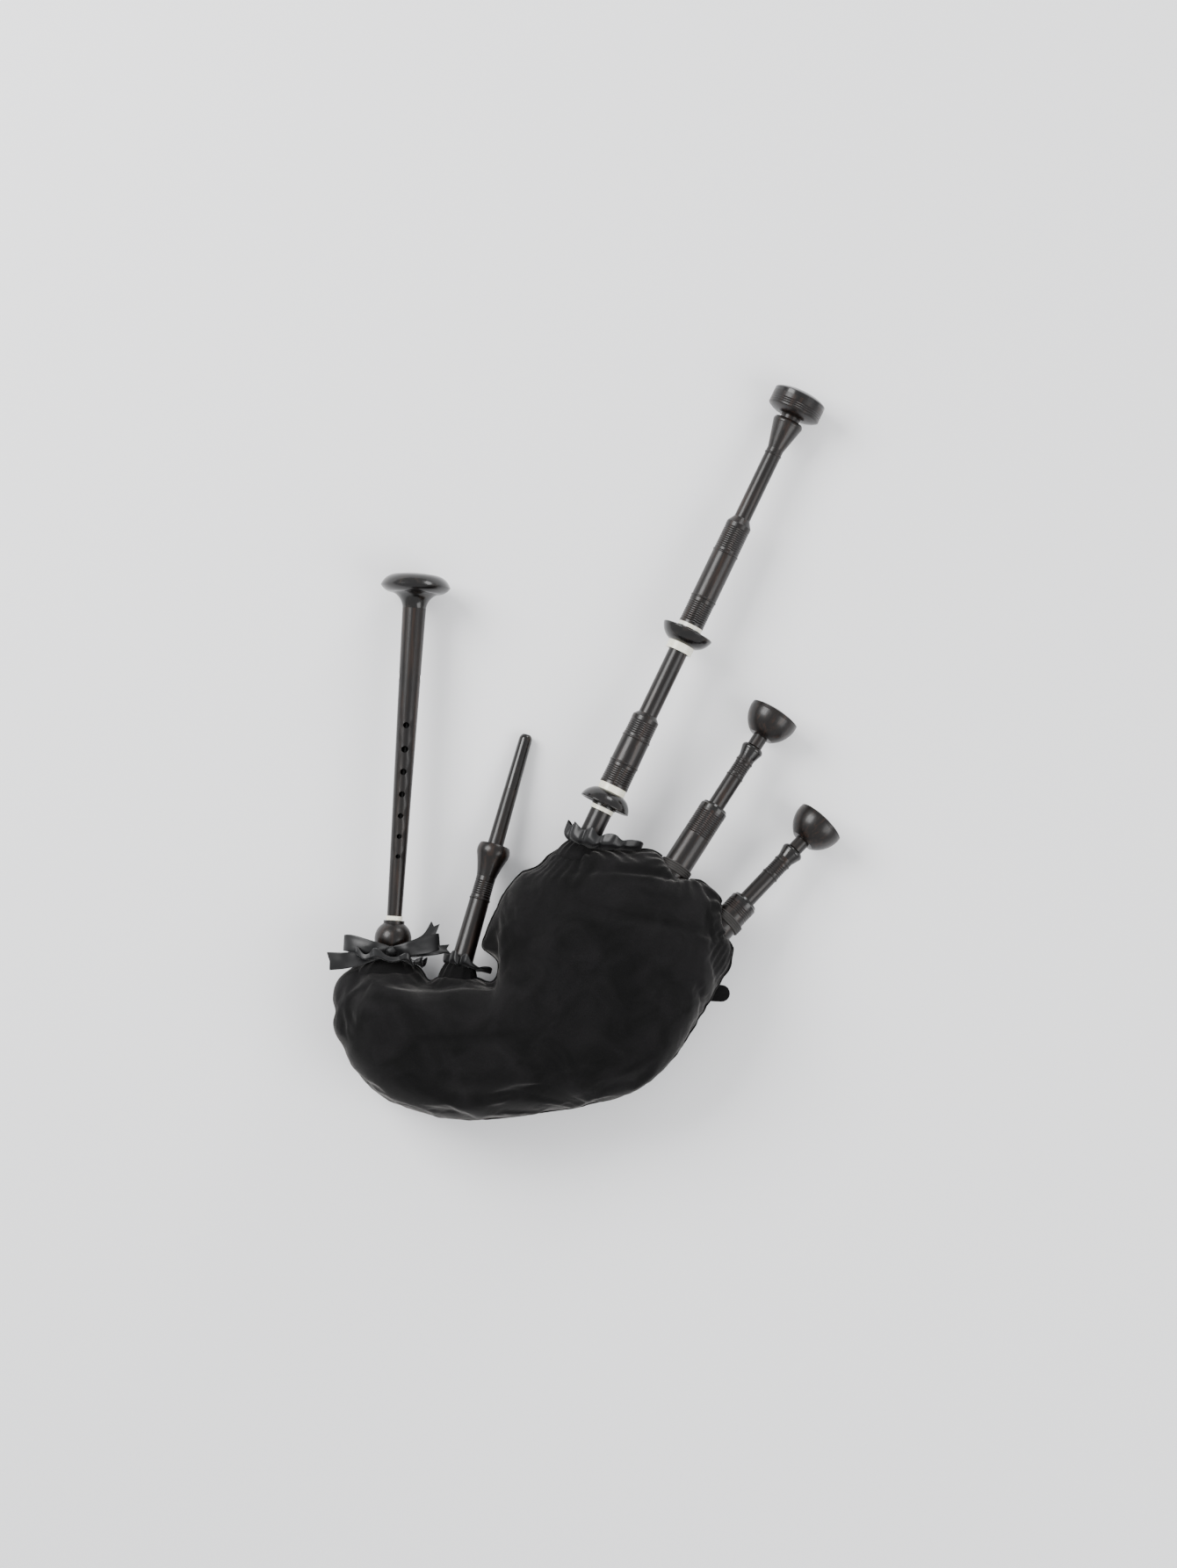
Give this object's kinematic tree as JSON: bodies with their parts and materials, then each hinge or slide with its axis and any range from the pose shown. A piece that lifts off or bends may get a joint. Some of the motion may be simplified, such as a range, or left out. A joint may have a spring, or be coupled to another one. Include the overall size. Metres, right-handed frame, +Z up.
{
  "type": "bagpipes",
  "caption": "Bagpipes lying on their side: velvet-covered bag, chanter, blowpipe, long bass drone with discs and flared drones beside it, with gathered frills at the stocks.",
  "frame": {"origin": "on the table, inside the flat patch that the bag lies on", "axes": "+Z up off the table, +Y the way the pipes point away from the bag, +X towards the tenor drones' side"},
  "size_m": [0.5027, 0.7296, 0.12],
  "materials": {
    "velvet": "soft pile, black",
    "hide": "undyed tanned hide",
    "blackwood": "oiled and polished, near black",
    "horn": "polished, near black",
    "ivory": "polished, cream",
    "satin": "satin, black",
    "hemp": "waxed thread",
    "cord": "waxed cord",
    "cane": "bare cane",
    "staple": "drawn tube, wrapped",
    "flap": "soft flap"
  },
  "bodies": {
    "bag": {"bag_cover": "velvet", "bag_hide": "hide"},
    "chanter_stock": {"chanter_stock": "blackwood", "chanter_stock_ball": "blackwood", "chanter_stock_tie": "cord", "chanter_frill": "satin"},
    "chanter": {"chanter_body": "blackwood", "chanter_ring": "ivory", "chanter_sole": "horn", "chanter_hemp": "hemp", "chanter_reed_staple": "staple", "chanter_reed_blades": "cane"},
    "blowpipe_stock": {"blowpipe_stock": "blackwood", "blowpipe_stock_cup": "blackwood", "blowpipe_stock_tie": "cord", "blowpipe_frill": "satin"},
    "blowpipe": {"blowpipe_tube": "blackwood", "blowpipe_hemp": "hemp", "mouthpiece": "horn"},
    "valve": {"valve_flap": "flap"},
    "bass_stock": {"bass_stock": "blackwood", "bass_stock_band": "ivory", "bass_stock_tie": "cord", "bass_frill": "satin"},
    "bass_bottom": {"bass_bottom_joint": "blackwood", "bass_bottom_mount": "horn", "bass_bottom_band": "ivory", "bass_bottom_hemp": "hemp", "bass_reed_body": "cane"},
    "bass_tongue": {"bass_reed_tongue": "cane"},
    "bass_middle": {"bass_middle_joint": "blackwood", "bass_middle_mount": "horn", "bass_middle_bands": "ivory", "bass_middle_cup": "blackwood"},
    "bass_top": {"bass_top_joint": "blackwood", "bass_top_hemp": "hemp", "bass_ring_cap": "horn"},
    "tenor_1_stock": {"tenor_1_stock": "blackwood", "tenor_1_stock_ferrule": "horn", "tenor_1_stock_tie": "cord"},
    "tenor_1_joint": {"tenor_1_joint": "blackwood", "tenor_1_joint_hemp": "hemp", "tenor_1_joint_ring": "horn", "tenor_1_reed_body": "cane"},
    "tenor_1_tongue": {"tenor_1_reed_tongue": "cane"},
    "tenor_1_bell": {"tenor_1_bell": "blackwood", "tenor_1_bell_hemp": "hemp", "tenor_1_bell_bush": "horn"},
    "tenor_2_stock": {"tenor_2_stock": "blackwood", "tenor_2_stock_ferrule": "horn", "tenor_2_stock_tie": "cord"},
    "tenor_2_joint": {"tenor_2_joint": "blackwood", "tenor_2_joint_hemp": "hemp", "tenor_2_joint_ring": "horn", "tenor_2_reed_body": "cane"},
    "tenor_2_tongue": {"tenor_2_reed_tongue": "cane"},
    "tenor_2_bell": {"tenor_2_bell": "blackwood", "tenor_2_bell_hemp": "hemp", "tenor_2_bell_bush": "horn"}
  },
  "joints": [
    {"name": "chanter_lean", "type": "hinge", "parent": "bag", "child": "chanter_stock", "pos_m": [-0.1707, 0.015, 0.046], "axis": [0, 0, 1], "range_deg": [-3, 8]},
    {"name": "blowpipe_lean", "type": "hinge", "parent": "bag", "child": "blowpipe_stock", "pos_m": [-0.1043, 0.007, 0.046], "axis": [0, 0, 1], "range_deg": [-5, 5]},
    {"name": "bass_lean", "type": "hinge", "parent": "bag", "child": "bass_stock", "pos_m": [0.0174, 0.127, 0.056], "axis": [0, 0, 1], "range_deg": [-8, 8]},
    {"name": "tenor_1_lean", "type": "hinge", "parent": "bag", "child": "tenor_1_stock", "pos_m": [0.1095, 0.11, 0.056], "axis": [0, 0, 1], "range_deg": [-8, 8]},
    {"name": "tenor_2_lean", "type": "hinge", "parent": "bag", "child": "tenor_2_stock", "pos_m": [0.16, 0.0591, 0.056], "axis": [0, 0, 1], "range_deg": [-8, 8]},
    {"name": "chanter_pull", "type": "slide", "parent": "chanter_stock", "child": "chanter", "axis": [0.0628, 0.9977, -0.0265], "range_m": [0, 0.058]},
    {"name": "blowpipe_pull", "type": "slide", "parent": "blowpipe_stock", "child": "blowpipe", "axis": [0.2691, 0.9509, -0.1531], "range_m": [0, 0.042]},
    {"name": "valve_flap_swing", "type": "hinge", "parent": "blowpipe", "child": "valve", "pos_m": [-0.07969, 0.09398, 0.03705], "axis": [-0.9622, 0.2723, 0], "range_deg": [0, 50], "stiffness_Nm_per_rad": 0.0002},
    {"name": "bass_pull", "type": "slide", "parent": "bass_stock", "child": "bass_bottom", "axis": [0.433, 0.8997, -0.0551], "range_m": [0, 0.1]},
    {"name": "bass_tune_lower", "type": "slide", "parent": "bass_bottom", "child": "bass_middle", "axis": [0.433, 0.8997, -0.0551], "range_m": [-0.055, 0.025]},
    {"name": "bass_tune_upper", "type": "slide", "parent": "bass_middle", "child": "bass_top", "axis": [0.433, 0.8997, -0.0551], "range_m": [-0.0035, 0.012]},
    {"name": "bass_tongue_beat", "type": "hinge", "parent": "bass_bottom", "child": "bass_tongue", "pos_m": [0.02016, 0.13273, 0.0587], "axis": [-0.9011, 0.4337, 0], "range_deg": [-1.6, 2], "stiffness_Nm_per_rad": 0.01},
    {"name": "tenor_1_pull", "type": "slide", "parent": "tenor_1_stock", "child": "tenor_1_joint", "axis": [0.5396, 0.8277, -0.154], "range_m": [0, 0.082]},
    {"name": "tenor_1_tune", "type": "slide", "parent": "tenor_1_joint", "child": "tenor_1_bell", "axis": [0.5396, 0.8277, -0.154], "range_m": [-0.003, 0.01]},
    {"name": "tenor_1_tongue_beat", "type": "hinge", "parent": "tenor_1_joint", "child": "tenor_1_tongue", "pos_m": [0.12729, 0.1373, 0.05401], "axis": [-0.8377, 0.5461, 0], "range_deg": [-1.6, 2], "stiffness_Nm_per_rad": 0.01},
    {"name": "tenor_2_pull", "type": "slide", "parent": "tenor_2_stock", "child": "tenor_2_joint", "axis": [0.6826, 0.7019, -0.2034], "range_m": [0, 0.082]},
    {"name": "tenor_2_tune", "type": "slide", "parent": "tenor_2_joint", "child": "tenor_2_bell", "axis": [0.6826, 0.7019, -0.2034], "range_m": [-0.003, 0.01]},
    {"name": "tenor_2_tongue_beat", "type": "hinge", "parent": "tenor_2_joint", "child": "tenor_2_tongue", "pos_m": [0.15054, 0.04937, 0.06194], "axis": [-0.7169, 0.6972, 0], "range_deg": [-1.6, 2], "stiffness_Nm_per_rad": 0.01}
  ]
}
